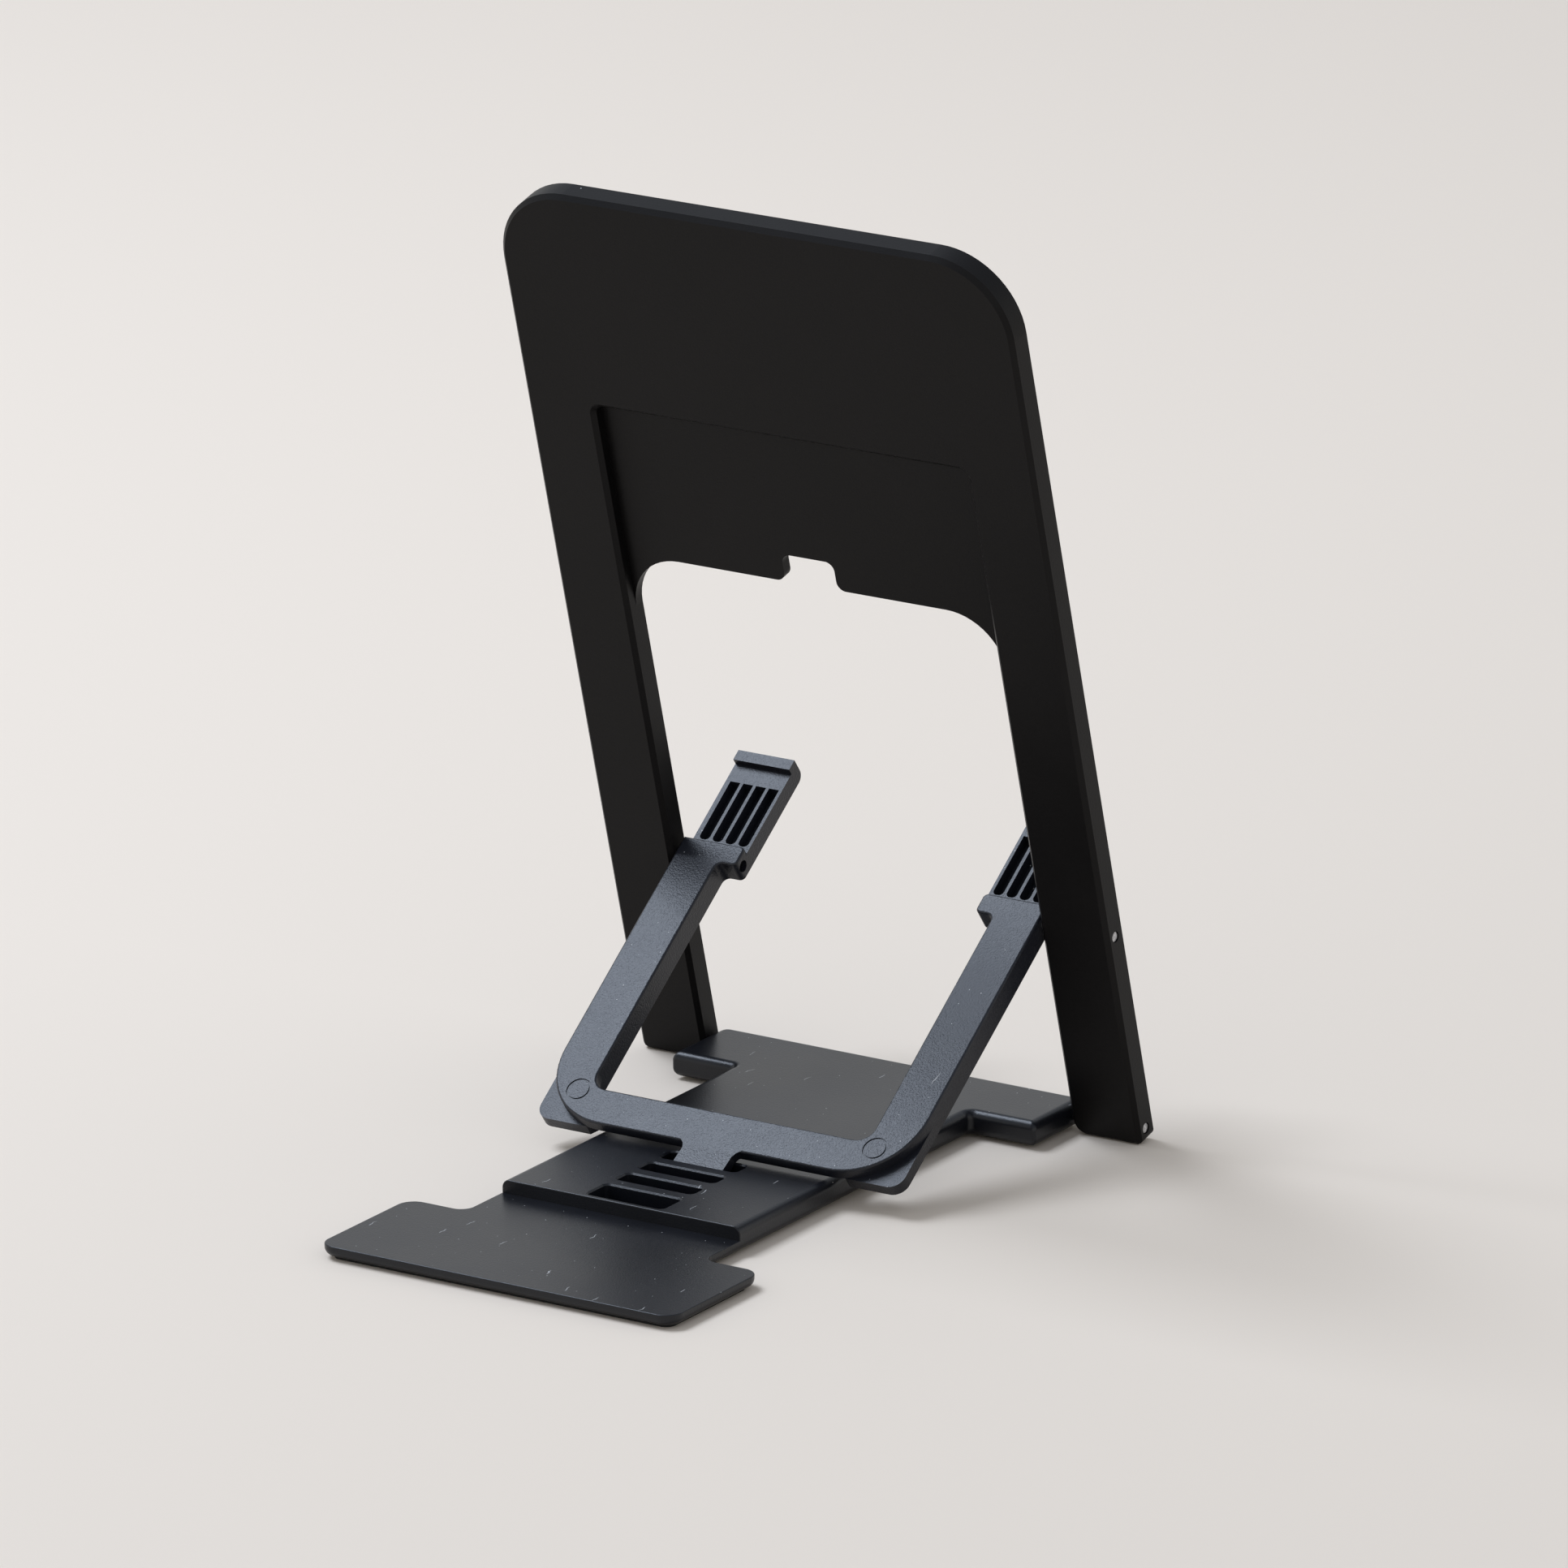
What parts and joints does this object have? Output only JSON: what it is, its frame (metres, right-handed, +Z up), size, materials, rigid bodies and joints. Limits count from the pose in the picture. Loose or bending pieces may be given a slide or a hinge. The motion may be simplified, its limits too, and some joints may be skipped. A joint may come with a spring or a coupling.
{
  "type": "phone stand",
  "caption": "Folding phone stand: a leaning back plate on two legs, a kickstand frame with phone hooks and a T-shaped base plate, joined by steel hinge pins.",
  "frame": {"origin": "centre of the footprint, on the table", "axes": "+X along the hinge pins, +Y towards the foot of the base plate (behind the phone), +Z up"},
  "size_m": [0.077, 0.0994, 0.1256],
  "materials": {
    "plate_plastic": "fine matte, moulded",
    "frame_plastic": "satin, fine grain",
    "base_plastic": "satin, fine grain",
    "pad_rubber": "matte",
    "pin_steel": "cut wire end"
  },
  "bodies": {
    "base": {"base_plate": "base_plastic", "foot_pad": "pad_rubber"},
    "plate": {"back_plate": "plate_plastic", "lower_pin_left": "pin_steel", "lower_pin_right": "pin_steel", "upper_pin_left": "pin_steel", "upper_pin_right": "pin_steel"},
    "kickstand": {"kickstand_frame": "frame_plastic"}
  },
  "joints": [
    {"name": "base_hinge", "type": "hinge", "parent": "base", "child": "plate", "pos_m": [0, -0.04304, 0.00209], "axis": [-1, 0, 0], "range_deg": [0, 75.5]},
    {"name": "kickstand_hinge", "type": "hinge", "parent": "plate", "child": "kickstand", "pos_m": [0, -0.03584, 0.02993], "axis": [1, 0, 0], "range_deg": [0, 111.81]}
  ],
  "couplings": [
    {"joint": "kickstand_hinge", "follows": "base_hinge", "ratio": 1.481}
  ]
}
